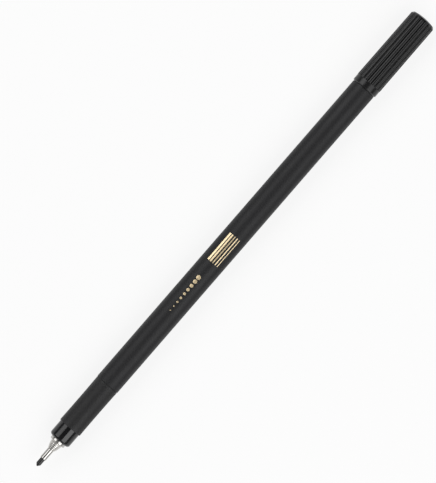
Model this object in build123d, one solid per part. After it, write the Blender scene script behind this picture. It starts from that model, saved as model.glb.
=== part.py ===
from build123d import *
import math
import os

# A slim fineliner pen with its ribbed cap pushed on the rear end.
# The pen lies along X with its nib towards -X and rests on Z = 0.
# Stations run along the axis from the nib's point. Radii are taken from the axis.
# All lengths are in millimetres.

# Clearances
PRESS_GAP = 0.02  # radial room between pieces that are pressed together
GUIDE_GAP = 0.05  # radial room round the nib where the holder guides it
CAP_GAP = 0.05  # radial room between the cap and the seat that it is pushed on
SEAT_GAP = 0.05  # room between the cap's mouth and the barrel's end
END_GAP = 0.2  # room at the end of a pocket or of the reservoir
OVERRUN = 1.0  # how far a cut runs past the face that it opens

# Nib and metal nose
NIB_EXPOSED = 2.75  # fibre that shows ahead of the tube
NIB_POINT_LENGTH = 0.75
NIB_NOSE_RADIUS = 0.15
NIB_SHOULDER_RADIUS = 0.2
NIB_TAIL = 8.0  # fibre inside the reservoir
TUBE_DIAMETER = 1.95
TUBE_WALL = 0.2
TUBE_EXPOSED = 3.45  # tube that shows ahead of the cone
TUBE_EDGE = 0.05
CONE_LENGTH = 2.55
CONE_LIP = 0.06  # how far the cone's small end stands out from the tube
CONE_BULGE = 0.12  # how far the cone's side bows out
SHOULDER_LENGTH = 0.15
SHOULDER_HEIGHT = 0.65
RING_DIAMETER = 4.9
RING_LENGTH = 0.8
RING_EDGE = 0.18
NOSE_LEDGE = 0.5  # how far the ring overhangs the shank behind it
NOSE_SHANK_LENGTH = 4.0

# Barrel and grip
BARREL_DIAMETER = 7.6
BARREL_LENGTH = 112.85  # from the grip's seam to the rear end
BARREL_EDGE = 0.1
NECK_WALL = 0.45
GRIP_LENGTH = 16.5
GRIP_WALL = 0.43  # at the waist
GRIP_EDGE = 0.12
GRIP_FRONT_STEP = 0.1  # how far the front edge lies below the barrel
GRIP_WAIST_STEP = 0.15
GRIP_REAR_STEP = 0.08
GRIP_WAIST_SHARE = 0.46  # place of the waist along the grip

# Glossy collar that holds the nose
COLLAR_LENGTH = 4.9
COLLAR_STEP = 0.25  # how far the collar lies below the grip's front edge
COLLAR_FACE = 0.15  # width of the flat front that shows round the nose's ring
HOLDER_SHANK_LENGTH = 6.0
AIR_CHANNEL_COUNT = 3
AIR_CHANNEL_DIAMETER = 0.5

# Ink reservoir
RESERVOIR_GAP = 0.1  # radial room between the film and the barrel
FILM_THICKNESS = 0.12

# Plug at the rear
PLUG_SHANK_LENGTH = 7.0
PLUG_WALL = 0.9
PLUG_END_WALL = 1.3
PLUG_CHAMFER = 0.4

# Cap
BAND_LENGTH = 2.2  # plain band at the mouth
RIB_COUNT = 17  # odd, so that a rib is on top when the pen lies on two
RIB_DEPTH = 0.36
CAP_WALL = 0.3  # under the valleys between the ribs
BAND_STEP = 0.075  # how far the band lies below the ribs
CAP_TAPER = 0.085  # how much the ribs' radius drops from the band to the rim
CAP_TAIL = 10.55  # from the inner cap's ledge to the top of the crown
CROWN_RISE = 0.6
CROWN_EDGE = 0.55
CROWN_WALL = 1.2
MOUTH_EDGE = 0.3
LEAD_IN = 0.2
LEDGE_WIDTH = 0.7
VENT_DIAMETER = 1.6

# Inner cap
INNER_RIB_COUNT = 4
INNER_RIB_WIDTH = 0.8
INNER_RIB_HEIGHT = 0.2
INNER_WALL = 0.28
INNER_FLOOR = 0.5
SEAL_GAP = 0.1  # between the collar's front face and the inner cap's rim
NIB_ROOM = 0.8  # ahead of the point when the pen is capped
VENT_GAP = 0.4  # air passage behind the inner cap

# Radii
TUBE_RADIUS = TUBE_DIAMETER / 2
NIB_RADIUS = TUBE_RADIUS - TUBE_WALL - PRESS_GAP
CONE_TIP_RADIUS = TUBE_RADIUS + CONE_LIP
RING_RADIUS = RING_DIAMETER / 2
CONE_BASE_RADIUS = RING_RADIUS - SHOULDER_HEIGHT
NOSE_SHANK_RADIUS = RING_RADIUS - NOSE_LEDGE
BARREL_RADIUS = BARREL_DIAMETER / 2
GRIP_FRONT_RADIUS = BARREL_RADIUS - GRIP_FRONT_STEP
GRIP_WAIST_RADIUS = BARREL_RADIUS - GRIP_WAIST_STEP
GRIP_REAR_RADIUS = BARREL_RADIUS - GRIP_REAR_STEP
GRIP_BORE_RADIUS = GRIP_WAIST_RADIUS - GRIP_WALL
NECK_RADIUS = GRIP_BORE_RADIUS - PRESS_GAP
BARREL_BORE_RADIUS = NECK_RADIUS - NECK_WALL
SHANK_RADIUS = BARREL_BORE_RADIUS - PRESS_GAP
SEAT_RADIUS = GRIP_FRONT_RADIUS - COLLAR_STEP  # collar and plug carry the cap alike
COLLAR_EDGE = SEAT_RADIUS - RING_RADIUS - COLLAR_FACE  # rounding of the collar's front
FILM_RADIUS = BARREL_BORE_RADIUS - RESERVOIR_GAP
INK_RADIUS = FILM_RADIUS - FILM_THICKNESS - PRESS_GAP
CAP_BORE_RADIUS = SEAT_RADIUS + CAP_GAP
CAP_RADIUS = CAP_BORE_RADIUS + CAP_WALL + RIB_DEPTH  # at the ribs' crests
BAND_RADIUS = CAP_RADIUS - BAND_STEP
RIM_RADIUS = CAP_RADIUS - CAP_TAPER
CAP_TAIL_RADIUS = CAP_BORE_RADIUS - LEDGE_WIDTH
INNER_RIB_RADIUS = CAP_BORE_RADIUS - PRESS_GAP
INNER_RADIUS = INNER_RIB_RADIUS - INNER_RIB_HEIGHT
INNER_BORE_RADIUS = INNER_RADIUS - INNER_WALL

# Stations of the pen
CONE_FRONT = NIB_EXPOSED + TUBE_EXPOSED
SHOULDER_FRONT = CONE_FRONT + CONE_LENGTH
RING_FRONT = SHOULDER_FRONT + SHOULDER_LENGTH
COLLAR_FRONT = RING_FRONT + RING_LENGTH
NOSE_END = COLLAR_FRONT + NOSE_SHANK_LENGTH
GRIP_FRONT = COLLAR_FRONT + COLLAR_LENGTH
HOLDER_END = GRIP_FRONT + HOLDER_SHANK_LENGTH
SEAM = GRIP_FRONT + GRIP_LENGTH
BARREL_END = SEAM + BARREL_LENGTH
PLUG_FRONT = BARREL_END - PLUG_SHANK_LENGTH
PLUG_END = BARREL_END + COLLAR_LENGTH
INK_FRONT = HOLDER_END + END_GAP
INK_END = PLUG_FRONT - END_GAP
NIB_END = INK_FRONT + NIB_TAIL

# Stations of the cap, whose seat has the same length at both ends of the pen
CAP_MOUTH = BARREL_END + SEAT_GAP
BAND_END = CAP_MOUTH + BAND_LENGTH
INNER_FRONT = CAP_MOUTH + COLLAR_LENGTH + SEAL_GAP
INNER_DEPTH = CAP_MOUTH + COLLAR_LENGTH + COLLAR_FRONT + NIB_ROOM
INNER_END = INNER_DEPTH + INNER_FLOOR
LEDGE = INNER_END + VENT_GAP
CAP_END = LEDGE + CAP_TAIL
RIM = CAP_END - CROWN_RISE
TAIL_END = CAP_END - CROWN_WALL

# Angles in degrees
FULL_TURN = 360
HALF_TURN = 180
QUARTER_TURN = 90
CROWN_EDGE_ANGLE = 38  # between the axis and the bevel round the crown


def turned(*edges):
    """Return the solid that a closed outline makes when it turns about the pen's axis."""
    return revolve(make_face(edges), Axis.X)


def turned_outline(*points):
    """Return the turned solid of an outline of straight lines."""
    return turned(Polyline(*points, close=True))


def turned_tube(start, end, outer, inner):
    """Return a plain tube from one station to another."""
    return turned_outline((start, inner), (start, outer), (end, outer), (end, inner))


def around(station, radius, angle):
    """Return the point at a station, a radius and an angle about the axis."""
    turn = math.radians(angle)
    return (station, radius * math.cos(turn), radius * math.sin(turn))


def fibre_nib():
    """The fibre rod with a rounded conical point."""
    points = [
        (0, 0),
        (0, NIB_NOSE_RADIUS),
        (NIB_POINT_LENGTH, NIB_RADIUS),
        (NIB_END, NIB_RADIUS),
        (NIB_END, 0),
    ]
    radii = [0, NIB_NOSE_RADIUS, NIB_SHOULDER_RADIUS, 0, 0]
    return turned(FilletPolyline(*points, radius=radii, close=True))


def nib_tube():
    """The steel tube round the nib, with its mouth broken by a small chamfer."""
    return turned_outline(
        (NIB_EXPOSED, TUBE_RADIUS - TUBE_WALL),
        (NIB_EXPOSED, TUBE_RADIUS - TUBE_EDGE),
        (NIB_EXPOSED + TUBE_EDGE, TUBE_RADIUS),
        (NOSE_END, TUBE_RADIUS),
        (NOSE_END, TUBE_RADIUS - TUBE_WALL),
    )


def nose_cone():
    """The turned cone with its bowed side, its ring and the shank that is pressed into the collar."""
    bore = TUBE_RADIUS + PRESS_GAP
    tip = (CONE_FRONT, CONE_TIP_RADIUS)
    base = (SHOULDER_FRONT, CONE_BASE_RADIUS)
    middle = ((CONE_FRONT + SHOULDER_FRONT) / 2, (CONE_TIP_RADIUS + CONE_BASE_RADIUS) / 2 + CONE_BULGE)
    side = ThreePointArc(tip, middle, base)
    points = [
        base,
        (RING_FRONT, RING_RADIUS),
        (COLLAR_FRONT, RING_RADIUS),
        (COLLAR_FRONT, NOSE_SHANK_RADIUS),
        (NOSE_END, NOSE_SHANK_RADIUS),
        (NOSE_END, bore),
        (CONE_FRONT, bore),
        tip,
    ]
    radii = [RING_EDGE, 0, 0, 0, 0, 0]
    return turned(side, FilletPolyline(*points, radius=radii))


def nib_holder():
    """The collar with its shank, the pocket for the nose and air channels along the nib."""
    pocket_radius = NOSE_SHANK_RADIUS + PRESS_GAP
    pocket_end = NOSE_END + END_GAP
    guide_radius = NIB_RADIUS + GUIDE_GAP
    points = [
        (COLLAR_FRONT, pocket_radius),
        (COLLAR_FRONT, SEAT_RADIUS),
        (GRIP_FRONT, SEAT_RADIUS),
        (GRIP_FRONT, SHANK_RADIUS),
        (HOLDER_END, SHANK_RADIUS),
        (HOLDER_END, guide_radius),
        (pocket_end, guide_radius),
        (pocket_end, pocket_radius),
    ]
    radii = [0, COLLAR_EDGE, 0, 0, 0, 0, 0, 0]
    holder = turned(FilletPolyline(*points, radius=radii, close=True))
    channel_radius = AIR_CHANNEL_DIAMETER / 2
    channel = turned_outline(
        (NOSE_END, 0),
        (NOSE_END, channel_radius),
        (HOLDER_END + OVERRUN, channel_radius),
        (HOLDER_END + OVERRUN, 0),
    )
    for index in range(AIR_CHANNEL_COUNT):
        middle = around(0, guide_radius, QUARTER_TURN + index * FULL_TURN / AIR_CHANNEL_COUNT)
        holder -= Pos(*middle) * channel
    return holder


def grip_sleeve():
    """The sleeve over the barrel's neck, drawn in to a gentle waist."""
    waist = GRIP_FRONT + GRIP_LENGTH * GRIP_WAIST_SHARE
    front_edge = (GRIP_FRONT + GRIP_EDGE, GRIP_FRONT_RADIUS)
    rear_edge = (SEAM - GRIP_EDGE, GRIP_REAR_RADIUS)
    side = ThreePointArc(front_edge, (waist, GRIP_WAIST_RADIUS), rear_edge)
    ends = Polyline(
        rear_edge,
        (SEAM, GRIP_REAR_RADIUS - GRIP_EDGE),
        (SEAM, GRIP_BORE_RADIUS),
        (GRIP_FRONT, GRIP_BORE_RADIUS),
        (GRIP_FRONT, GRIP_FRONT_RADIUS - GRIP_EDGE),
        front_edge,
    )
    return turned(side, ends)


def barrel():
    """The tube, with the neck that carries the grip."""
    return turned_outline(
        (GRIP_FRONT, BARREL_BORE_RADIUS),
        (GRIP_FRONT, NECK_RADIUS),
        (SEAM, NECK_RADIUS),
        (SEAM, BARREL_RADIUS - BARREL_EDGE),
        (SEAM + BARREL_EDGE, BARREL_RADIUS),
        (BARREL_END - BARREL_EDGE, BARREL_RADIUS),
        (BARREL_END, BARREL_RADIUS - BARREL_EDGE),
        (BARREL_END, BARREL_BORE_RADIUS),
    )


def ink_reservoir():
    """The fibre rod, with a pocket for the nib's tail."""
    pocket_radius = NIB_RADIUS + PRESS_GAP
    pocket_end = NIB_END + END_GAP
    return turned_outline(
        (INK_FRONT, pocket_radius),
        (INK_FRONT, INK_RADIUS),
        (INK_END, INK_RADIUS),
        (INK_END, 0),
        (pocket_end, 0),
        (pocket_end, pocket_radius),
    )


def reservoir_film():
    """The film wrapped round the fibre rod."""
    return turned_tube(INK_FRONT, INK_END, FILM_RADIUS, FILM_RADIUS - FILM_THICKNESS)


def rear_plug():
    """The plug, hollow towards the reservoir, with a seat for the cap."""
    hollow_radius = SHANK_RADIUS - PLUG_WALL
    hollow_end = PLUG_END - PLUG_END_WALL
    return turned_outline(
        (PLUG_FRONT, hollow_radius),
        (PLUG_FRONT, SHANK_RADIUS),
        (BARREL_END, SHANK_RADIUS),
        (BARREL_END, SEAT_RADIUS),
        (PLUG_END - PLUG_CHAMFER, SEAT_RADIUS),
        (PLUG_END, SEAT_RADIUS - PLUG_CHAMFER),
        (PLUG_END, 0),
        (hollow_end, 0),
        (hollow_end, hollow_radius),
    )


def rib_rod_radius():
    """Return the radius of the round rod whose back each rib is."""
    half_pitch = math.pi / RIB_COUNT
    valley_radius = CAP_RADIUS - RIB_DEPTH
    rise = CAP_RADIUS - valley_radius * math.cos(half_pitch)
    half_width = valley_radius * math.sin(half_pitch)
    return (half_width**2 + rise**2) / (2 * rise)


def rest_height():
    """Return the height of the axis when the pen lies on two ribs."""
    rod_radius = rib_rod_radius()
    return rod_radius + (CAP_RADIUS - rod_radius) * math.cos(math.pi / RIB_COUNT)


def cap_rib():
    """Return one rib: a round rod that leans in towards the crown, cut to its share of a turn."""
    length = CAP_END + OVERRUN - BAND_END
    rod_radius = rib_rod_radius()
    lean = math.degrees(math.atan(CAP_TAPER / (RIM - BAND_END)))
    rod = Rot(Y=QUARTER_TURN + lean) * Cylinder(rod_radius, 2 * (length + OVERRUN))
    reach = CAP_RADIUS + OVERRUN
    spread = reach * math.tan(math.pi / RIB_COUNT)
    share = make_face(Polyline((0, 0), (spread, reach), (-spread, reach), close=True))
    wedge = extrude(Plane.YZ * share, length)
    return Pos(BAND_END, 0, 0) * (Pos(0, 0, CAP_RADIUS - rod_radius) * rod & wedge)


def cap_ribs():
    """Return the ribs round a core that joins them, with two ribs at the bottom."""
    core_radius = CAP_BORE_RADIUS + CAP_WALL / 2
    ribs = turned_outline(
        (BAND_END, 0),
        (BAND_END, core_radius),
        (CAP_END, core_radius),
        (CAP_END, 0),
    )
    rib = cap_rib()
    pitch = FULL_TURN / RIB_COUNT
    for index in range(RIB_COUNT):
        ribs += Rot(X=HALF_TURN + pitch / 2 + index * pitch) * rib
    return ribs


def cap_band():
    """Return the plain band, with its mouth broken by a chamfer."""
    return turned_outline(
        (CAP_MOUTH, 0),
        (CAP_MOUTH, BAND_RADIUS - MOUTH_EDGE),
        (CAP_MOUTH + MOUTH_EDGE, BAND_RADIUS),
        (BAND_END, BAND_RADIUS),
        (BAND_END, 0),
    )


def cap_crown():
    """Return the domed end that the ribs run out over, as wide as the ribs need."""
    crown_radius = (RIM_RADIUS**2 + CROWN_RISE**2) / (2 * CROWN_RISE)
    dome_angle = math.degrees(math.asin((RIM_RADIUS - CROWN_EDGE) / crown_radius))
    dome = CenterArc((CAP_END - crown_radius, 0), crown_radius, 0, dome_angle)
    edge = dome @ 1
    outside = CAP_RADIUS + OVERRUN
    skirt = edge.X - (outside - edge.Y) / math.tan(math.radians(CROWN_EDGE_ANGLE))
    side = Polyline(edge, (skirt, outside), (CAP_MOUTH, outside), (CAP_MOUTH, 0), dome @ 0)
    return turned(dome, side)


def cap_hollow():
    """Return the cap's hollow: lead-in, bore, ledge for the inner cap, tail and vent."""
    vent_radius = VENT_DIAMETER / 2
    return turned_outline(
        (CAP_MOUTH - OVERRUN, 0),
        (CAP_MOUTH - OVERRUN, CAP_BORE_RADIUS + LEAD_IN + OVERRUN),
        (CAP_MOUTH + LEAD_IN, CAP_BORE_RADIUS),
        (LEDGE, CAP_BORE_RADIUS),
        (LEDGE, CAP_TAIL_RADIUS),
        (TAIL_END, CAP_TAIL_RADIUS),
        (TAIL_END, vent_radius),
        (CAP_END + OVERRUN, vent_radius),
        (CAP_END + OVERRUN, 0),
    )


def cap_shell():
    """The cap: a plain band at the mouth, ribs that run out over the crown, and the hollow."""
    return cap_band() + (cap_ribs() & cap_crown()) - cap_hollow()


def inner_cap():
    """The sealing cup, held off the cap's wall by ribs that leave room for air."""
    cup = turned_outline(
        (INNER_FRONT, INNER_BORE_RADIUS),
        (INNER_FRONT, INNER_RADIUS),
        (INNER_END, INNER_RADIUS),
        (INNER_END, 0),
        (INNER_DEPTH, 0),
        (INNER_DEPTH, INNER_BORE_RADIUS),
    )
    root_radius = INNER_RADIUS - INNER_WALL / 2
    ring = turned_tube(INNER_FRONT, LEDGE, INNER_RIB_RADIUS, root_radius)
    length = LEDGE - INNER_FRONT
    middle = (INNER_FRONT + LEDGE) / 2
    plate = Pos(middle, INNER_RIB_RADIUS, 0) * Box(length, 2 * INNER_RIB_RADIUS, INNER_RIB_WIDTH)
    for index in range(INNER_RIB_COUNT):
        cup += ring & (Rot(X=index * FULL_TURN / INNER_RIB_COUNT) * plate)
    return cup


PIECES = [
    fibre_nib,
    nib_tube,
    nose_cone,
    nib_holder,
    grip_sleeve,
    barrel,
    ink_reservoir,
    reservoir_film,
    rear_plug,
    cap_shell,
    inner_cap,
]

os.makedirs("parts", exist_ok=True)
rest = Pos(-CAP_END / 2, 0, rest_height())
for piece in PIECES:
    export_step(rest * piece(), f"parts/{piece.__name__}.step")
print(f"length {CAP_END:.2f} mm, cap diameter {2 * CAP_RADIUS:.2f} mm, axis at Z {rest_height():.5f} mm")
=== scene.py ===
"""Looks of a slim fineliner pen with its ribbed cap pushed on the rear end.

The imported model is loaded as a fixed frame. The visible pieces are turned again with fine rounded
edges, the barrel gets its foil marks, and every piece gets a finish made of nodes.
The pen's lengths are in millimetres, stations run along the axis from the nib's point, and radii are
taken from the axis. The studio's lengths are in metres.
"""

import logging
import math
from collections.abc import Mapping, Sequence
from dataclasses import dataclass
from enum import Enum

import bmesh
import bpy
from bpy.types import Material, Mesh, Node, NodeSocket, NodeTree, Object
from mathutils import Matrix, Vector

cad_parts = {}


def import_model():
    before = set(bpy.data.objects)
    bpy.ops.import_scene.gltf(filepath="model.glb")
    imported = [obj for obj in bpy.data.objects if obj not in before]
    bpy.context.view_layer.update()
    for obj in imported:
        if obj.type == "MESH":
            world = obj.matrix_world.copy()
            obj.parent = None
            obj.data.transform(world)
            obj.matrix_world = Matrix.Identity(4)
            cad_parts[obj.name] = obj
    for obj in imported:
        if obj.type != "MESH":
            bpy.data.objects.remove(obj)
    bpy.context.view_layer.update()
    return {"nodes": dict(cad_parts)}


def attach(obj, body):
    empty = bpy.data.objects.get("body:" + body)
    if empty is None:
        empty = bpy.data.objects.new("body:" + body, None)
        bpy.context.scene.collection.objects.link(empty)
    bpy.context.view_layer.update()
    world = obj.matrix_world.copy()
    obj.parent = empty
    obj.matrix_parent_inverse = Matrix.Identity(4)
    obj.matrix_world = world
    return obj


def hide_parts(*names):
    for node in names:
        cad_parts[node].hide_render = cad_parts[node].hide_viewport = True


LOG = logging.getLogger("fineliner")

MM = 0.001
PEN_LENGTH = 170.85
AXIS_HEIGHT = 4.10256
MERGE_DISTANCE = 0.0002
SHARP_ANGLE = math.radians(32)
ARC_STEPS = 6
GUARD = 0.3  # distance from a rounded edge to the row that keeps the wall beside it straight
GUARD_ROOM = 3 * GUARD  # length that a wall needs beside the rounded edge to get that row
EDGE_START = 0.3  # share of edge wear where a rounding starts, which grows to 1 at its middle
TURN_SEGMENTS = 128

BLACK = (0.0, 0.0, 0.0)
WHITE = (1.0, 1.0, 1.0)

Colour = tuple[float, float, float]
Place = tuple[float, ...]
Source = object  # an output socket, or a plain value
Look = tuple[Source, Source, Source]  # colour, roughness and height of a surface
Plan = tuple[str, str, Source]  # name, type and default of a tree's socket

GEOMETRY: Plan = ("Geometry", "Geometry", None)
MATERIAL: Plan = ("Material", "Material", None)
SEGMENTS: Plan = ("Segments", "Int", TURN_SEGMENTS)
AXIS: Plan = ("Axis Height", "Float", AXIS_HEIGHT * MM)


class Body(Enum):
    """The bodies that pieces ride on."""

    PEN = "pen"
    CAP = "cap"


class MarkShape(Enum):
    """The shapes that a foil mark can have."""

    BAR = "bar"
    DOT = "dot"


class MixKind(Enum):
    """What a Mix node mixes: its data type, the number of its first input and that of its output."""

    VECTOR = ("VECTOR", 4, 1)
    COLOUR = ("RGBA", 6, 2)


class Wiring:
    """Adds nodes to one tree and joins them."""

    def __init__(self, tree: NodeTree) -> None:
        """Keep the tree that the nodes go into."""
        self.tree = tree

    def feed(self, socket: NodeSocket, source: Source) -> None:
        """Join an output to a socket, or set the socket's own value.

        Args:
            socket: The input to feed.
            source: An output socket, or a plain value.
        """
        if isinstance(source, NodeSocket):
            self.tree.links.new(source, socket)
        elif socket.type == "RGBA":
            socket.default_value = (*source, 1.0)
        else:
            socket.default_value = source

    def add(self, kind: str, inputs: Mapping[int | str, Source] | None = None, **settings: object) -> Node:
        """Add a node.

        Args:
            kind: The node's type.
            inputs: What feeds its inputs, by their names or numbers.
            settings: Properties of the node, set before its inputs are fed.

        Returns:
            The new node.
        """
        node = self.tree.nodes.new(kind)
        for name, value in settings.items():
            setattr(node, name, value)
        for key, source in (inputs or {}).items():
            self.feed(node.inputs[key], source)
        return node

    def out(
        self,
        kind: str,
        inputs: Mapping[int | str, Source] | None = None,
        output: int | str = 0,
        **settings: object,
    ) -> NodeSocket:
        """Add a node as add does, and return one of its outputs."""
        return self.add(kind, inputs, **settings).outputs[output]

    def math(self, operation: str, *values: Source) -> NodeSocket:
        """Return what a Math operation makes of its values."""
        return self.out("ShaderNodeMath", dict(enumerate(values)), operation=operation)

    def spread(self, share: Source, low: Source, high: Source) -> NodeSocket:
        """Return a share from 0 to 1, spread over the range from low to high."""
        return self.out("ShaderNodeMapRange", {"Value": share, "To Min": low, "To Max": high})

    def mix(
        self, share: Source, first: Source, second: Source, kind: MixKind = MixKind.COLOUR
    ) -> NodeSocket:
        """Return a mixture of two colours or vectors, with a share from 0 to 1 of the second."""
        data, place, output = kind.value
        return self.out("ShaderNodeMix", {0: share, place: first, place + 1: second}, output, data_type=data)

    def split(self, vector: NodeSocket) -> list[NodeSocket]:
        """Return the three parts of a vector."""
        return list(self.add("ShaderNodeSeparateXYZ", {"Vector": vector}).outputs)

    def join(self, x: Source, y: Source, z: Source) -> NodeSocket:
        """Return a vector of three parts."""
        return self.out("ShaderNodeCombineXYZ", {"X": x, "Y": y, "Z": z})

    def attribute(self, name: str) -> NodeSocket:
        """Return a number that the mesh holds."""
        return self.out("ShaderNodeAttribute", output="Fac", attribute_name=name)

    def place(self) -> list[NodeSocket]:
        """Return the three parts of the place on the object."""
        return self.split(self.out("ShaderNodeTexCoord", output="Object"))

    def group(self, tree: NodeTree, **inputs: float) -> NodeSocket:
        """Place a shader node group with values for its inputs, and return its output."""
        return self.out("ShaderNodeGroup", inputs, node_tree=tree)


class NodeGroup(Wiring):
    """A node tree of its own, with named inputs and one output."""

    NAME = "group"
    KIND = "ShaderNodeTree"
    INPUTS: tuple[Plan, ...] = ()
    OUTPUT: Plan = ("Value", "Float", None)

    def __init__(self) -> None:
        """Give the tree its sockets and the nodes between them."""
        super().__init__(bpy.data.node_groups.new(self.NAME, self.KIND))
        for plan in self.INPUTS:
            self.socket("INPUT", *plan)
        self.socket("OUTPUT", *self.OUTPUT)
        self.given = self.add("NodeGroupInput").outputs
        self.feed(self.add("NodeGroupOutput").inputs[0], self.result())

    def socket(self, direction: str, name: str, kind: str, default: Source) -> None:
        """Give the tree a socket.

        Args:
            direction: INPUT or OUTPUT.
            name: The socket's name.
            kind: The socket's type, such as Float or Geometry.
            default: The value of an input that nothing feeds, or None.
        """
        socket = self.tree.interface.new_socket(name, in_out=direction, socket_type=f"NodeSocket{kind}")
        if default is not None:
            socket.default_value = default

    def result(self) -> NodeSocket:
        """Add the tree's nodes and return what goes to its output."""
        raise NotImplementedError


class Effect(NodeGroup):
    """A shader node group that more than one finish uses."""

    def noise(
        self, along: Source, across: Source, detail: float = 3.0, roughness: float = 0.5
    ) -> NodeSocket:
        """Add a noise whose spots have a size in millimetres.

        Args:
            along: Size of the spots along the pen.
            across: Size of the spots across the pen.
            detail: How many finer noises are laid over the first.
            roughness: How strong the finer noises are.

        Returns:
            The noise, from 0 to 1.
        """
        x, y, z = self.place()
        along_scale = self.math("DIVIDE", 1 / MM, along)
        across_scale = self.math("DIVIDE", 1 / MM, across)
        place = self.join(
            self.math("MULTIPLY", x, along_scale),
            self.math("MULTIPLY", y, across_scale),
            self.math("MULTIPLY", z, across_scale),
        )
        inputs = {"Vector": place, "Scale": 1.0, "Detail": detail, "Roughness": roughness}
        return self.out("ShaderNodeTexNoise", inputs)


class FineGrain(Effect):
    """An even grain, as moulded into plastic."""

    NAME = "fine grain"
    INPUTS = (("Size", "Float", 0.1),)

    def result(self) -> NodeSocket:
        """Return the grain's height."""
        return self.noise(self.given["Size"], self.given["Size"], detail=2.0)


class LinedGrain(Effect):
    """Lines that run along the pen or round it."""

    NAME = "lined grain"
    INPUTS = (("Along", "Float", 5.0), ("Across", "Float", 0.05))

    def result(self) -> NodeSocket:
        """Return the lines' height."""
        return self.noise(self.given["Along"], self.given["Across"])


class Handling(Effect):
    """Soft patches that handling leaves on a surface."""

    NAME = "handling"
    INPUTS = (("Size", "Float", 6.0), ("Streak", "Float", 2.0))
    EDGES = {"From Min": 0.35, "From Max": 0.7}  # levels of the noise between which a patch fades in

    def result(self) -> NodeSocket:
        """Fade patches in and out with a noise.

        Returns:
            How far a place is handled, from 0 to 1.
        """
        length = self.math("MULTIPLY", self.given["Size"], self.given["Streak"])
        fade = {"Value": self.noise(length, self.given["Size"], roughness=0.6), **self.EDGES}
        return self.out("ShaderNodeMapRange", fade, interpolation_type="SMOOTHSTEP")


class EdgeWear(Effect):
    """Rubbed edges, from the share that the mesh holds."""

    NAME = "edge wear"
    INPUTS = (("Size", "Float", 0.4), ("Amount", "Float", 0.5))
    BREAK_UP = (0.2, 1.4)  # what an edge is multiplied by where the noise is lowest and highest

    def result(self) -> NodeSocket:
        """Break the mesh's edges up with a noise.

        Returns:
            How far a place is rubbed, from 0 to 1.
        """
        noise = self.noise(self.given["Size"], self.given["Size"], roughness=0.6)
        broken = self.math("MULTIPLY", self.attribute("edge"), self.spread(noise, *self.BREAK_UP))
        return self.math("MINIMUM", self.math("MULTIPLY", broken, self.given["Amount"]), 1.0)


class ShaderEffects:
    """The effects, each built once."""

    def __init__(self) -> None:
        """Build the groups."""
        self.fine_grain = FineGrain().tree
        self.lined_grain = LinedGrain().tree
        self.handling = Handling().tree
        self.edge_wear = EdgeWear().tree


@dataclass(frozen=True, kw_only=True)
class Finish:
    """What every finish has."""

    name: str  # of the record's material slot, or of the material where it has none
    colour: Colour
    roughness: float
    depth: float  # of the surface's relief
    metallic: float = 0.0
    specular: float = 0.5

    def look(self, wiring: Wiring, effects: ShaderEffects) -> Look:
        """Add the nodes of the finish.

        Args:
            wiring: The material's wiring.
            effects: The shared node groups.

        Returns:
            Colour, roughness and height of the surface.
        """
        raise NotImplementedError

    def material(self, effects: ShaderEffects) -> Material:
        """Build the finish.

        Args:
            effects: The shared node groups.

        Returns:
            The material.
        """
        material = bpy.data.materials.new(self.name)
        material.use_nodes = True
        wiring = Wiring(material.node_tree)
        colour, roughness, height = self.look(wiring, effects)
        relief = {"Height": height, "Strength": 1.0, "Distance": self.depth * MM}
        shader = material.node_tree.nodes["Principled BSDF"].inputs
        for name, source in (
            ("Base Color", colour),
            ("Roughness", roughness),
            ("Normal", wiring.out("ShaderNodeBump", relief)),
            ("Metallic", self.metallic),
            ("Specular IOR Level", self.specular),
        ):
            wiring.feed(shader[name], source)
        return material


@dataclass(frozen=True, kw_only=True)
class Plastic(Finish):
    """A moulded or coated plastic with grain, handled patches and rubbed edges."""

    worn_colour: Colour  # of rubbed edges
    handled_roughness: float
    grain_size: float
    wear: float = 0.4  # how strongly edges are rubbed, from 0 to 1
    wear_size: float = 0.5  # of the spots that break a rubbed edge up
    patch_size: float = 5.0
    patch_streak: float = 3.0  # how many times as long as wide a handled patch is
    patch_lift: float = 0.06  # how far a handled patch lightens the colour
    speckle: float = 0.12  # how far the grain lightens and darkens the colour
    speckle_roughness: float = 0.3  # how much of that goes into the roughness
    rib_roughness: float | None = None  # where the mesh is ribbed, if it has ribs
    painted_valley_shade: float = 0.0  # painted shade: how much darker the valleys between ribs are painted, from 0 to 1
    valley_power: float = 4.0  # how closely that painted shade keeps to the bottom of the valleys

    def look(self, wiring: Wiring, effects: ShaderEffects) -> Look:
        """Add the nodes of the plastic.

        Args:
            wiring: The material's wiring.
            effects: The shared node groups.

        Returns:
            Colour, roughness and height of the grain.
        """
        grain = wiring.group(effects.fine_grain, Size=self.grain_size)
        handled = wiring.group(effects.handling, Size=self.patch_size, Streak=self.patch_streak)
        worn = wiring.group(effects.edge_wear, Size=self.wear_size, Amount=self.wear)
        speckle = wiring.spread(grain, -self.speckle, self.speckle)
        lighter = wiring.math("ADD", worn, wiring.math("MULTIPLY_ADD", handled, self.patch_lift, speckle))
        colour = wiring.mix(lighter, self.colour, self.worn_colour)
        smooth = wiring.spread(handled, self.roughness, self.handled_roughness)
        if self.rib_roughness is not None:
            smooth = wiring.spread(wiring.attribute("ribbed"), smooth, self.rib_roughness)
            # painted shade: the colour is darkened towards the bottom of the valleys between ribs, where
            # shade falls
            painted_shade_mask = wiring.math("POWER", wiring.attribute("valley"), self.valley_power)
            colour = wiring.mix(wiring.math("MULTIPLY", painted_shade_mask, self.painted_valley_shade), colour, BLACK)
        return colour, wiring.math("MULTIPLY_ADD", speckle, self.speckle_roughness, smooth), grain


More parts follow.
